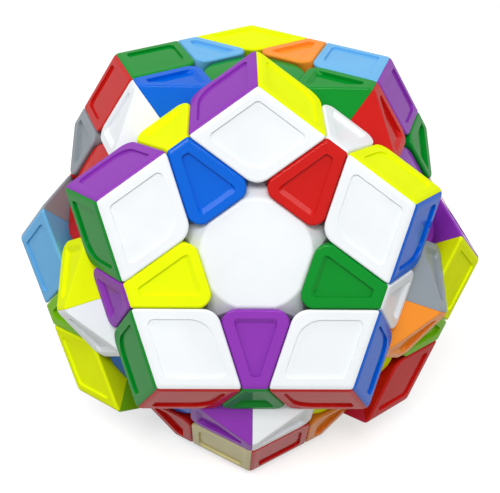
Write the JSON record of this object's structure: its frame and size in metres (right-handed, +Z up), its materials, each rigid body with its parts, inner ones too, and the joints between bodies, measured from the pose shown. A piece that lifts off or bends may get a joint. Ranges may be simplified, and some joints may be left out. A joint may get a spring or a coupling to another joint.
{
  "type": "twisty dodecahedron puzzle",
  "caption": "Twelve-sided twisty puzzle with glossy coloured facets, shown with its front layer and both rear side layers part-way through a turn.",
  "frame": {"origin": "centre of the core, where all twelve turning axes meet", "axes": "+Z up as the puzzle stands on its three lowest corners; -Y towards the viewer, with the front turned layer facing -Y and tilted up about 20 degrees; +X to the right"},
  "size_m": [0.0907, 0.0858, 0.0829],
  "materials": {
    "foot_plastic": "fine moulded",
    "abs_beige": "smooth polished moulding",
    "abs_blue": "smooth polished moulding",
    "abs_green": "smooth polished moulding",
    "abs_grey": "smooth polished moulding",
    "abs_lime": "smooth polished moulding",
    "abs_orange": "smooth polished moulding",
    "abs_pink": "smooth polished moulding",
    "abs_purple": "smooth polished moulding",
    "abs_red": "smooth polished moulding",
    "abs_sky": "smooth polished moulding",
    "abs_white": "smooth polished moulding",
    "abs_yellow": "smooth polished moulding",
    "core_plastic": "fine moulded",
    "screws": "machined steel",
    "springs": "bright wire"
  },
  "bodies": {
    "body": {"body_bases": "foot_plastic", "body_corner_feet": "foot_plastic", "body_edge_feet": "foot_plastic", "body_shells_beige": "abs_beige", "body_shells_blue": "abs_blue", "body_shells_green": "abs_green", "body_shells_grey": "abs_grey", "body_shells_lime": "abs_lime", "body_shells_orange": "abs_orange", "body_shells_pink": "abs_pink", "body_shells_purple": "abs_purple", "body_shells_red": "abs_red", "body_shells_sky": "abs_sky", "body_shells_white": "abs_white", "body_shells_yellow": "abs_yellow", "cap_beige": "abs_beige", "cap_blue": "abs_blue", "cap_green": "abs_green", "cap_grey": "abs_grey", "cap_lime": "abs_lime", "cap_purple": "abs_purple", "cap_red": "abs_red", "cap_sky": "abs_sky", "cap_yellow": "abs_yellow", "core": "core_plastic", "screws": "screws", "springs": "springs"},
    "front_layer": {"front_base": "foot_plastic", "front_cap": "abs_white", "front_feet": "foot_plastic", "front_shells_blue": "abs_blue", "front_shells_green": "abs_green", "front_shells_purple": "abs_purple", "front_shells_red": "abs_red", "front_shells_white": "abs_white", "front_shells_yellow": "abs_yellow"},
    "rear_left_layer": {"rear_left_base": "foot_plastic", "rear_left_cap": "abs_pink", "rear_left_feet": "foot_plastic", "rear_left_shells_beige": "abs_beige", "rear_left_shells_blue": "abs_blue", "rear_left_shells_green": "abs_green", "rear_left_shells_grey": "abs_grey", "rear_left_shells_lime": "abs_lime", "rear_left_shells_pink": "abs_pink", "rear_left_shells_red": "abs_red", "rear_left_shells_sky": "abs_sky", "rear_left_shells_yellow": "abs_yellow"},
    "rear_right_layer": {"rear_right_base": "foot_plastic", "rear_right_cap": "abs_orange", "rear_right_feet": "foot_plastic", "rear_right_shells_blue": "abs_blue", "rear_right_shells_grey": "abs_grey", "rear_right_shells_lime": "abs_lime", "rear_right_shells_orange": "abs_orange", "rear_right_shells_pink": "abs_pink", "rear_right_shells_purple": "abs_purple", "rear_right_shells_red": "abs_red", "rear_right_shells_sky": "abs_sky", "rear_right_shells_yellow": "abs_yellow"}
  },
  "joints": [
    {"name": "front_turn", "type": "hinge", "parent": "body", "child": "front_layer", "pos_m": [0, 0, 0], "axis": [0, -0.9406, 0.3396], "continuous": true},
    {"name": "rear_left_turn", "type": "hinge", "parent": "body", "child": "rear_left_layer", "pos_m": [0, 0, 0], "axis": [-0.8578, 0.3346, -0.3903], "continuous": true},
    {"name": "rear_right_turn", "type": "hinge", "parent": "body", "child": "rear_right_layer", "pos_m": [0, 0, 0], "axis": [0.8429, 0.319, -0.4333], "continuous": true}
  ]
}
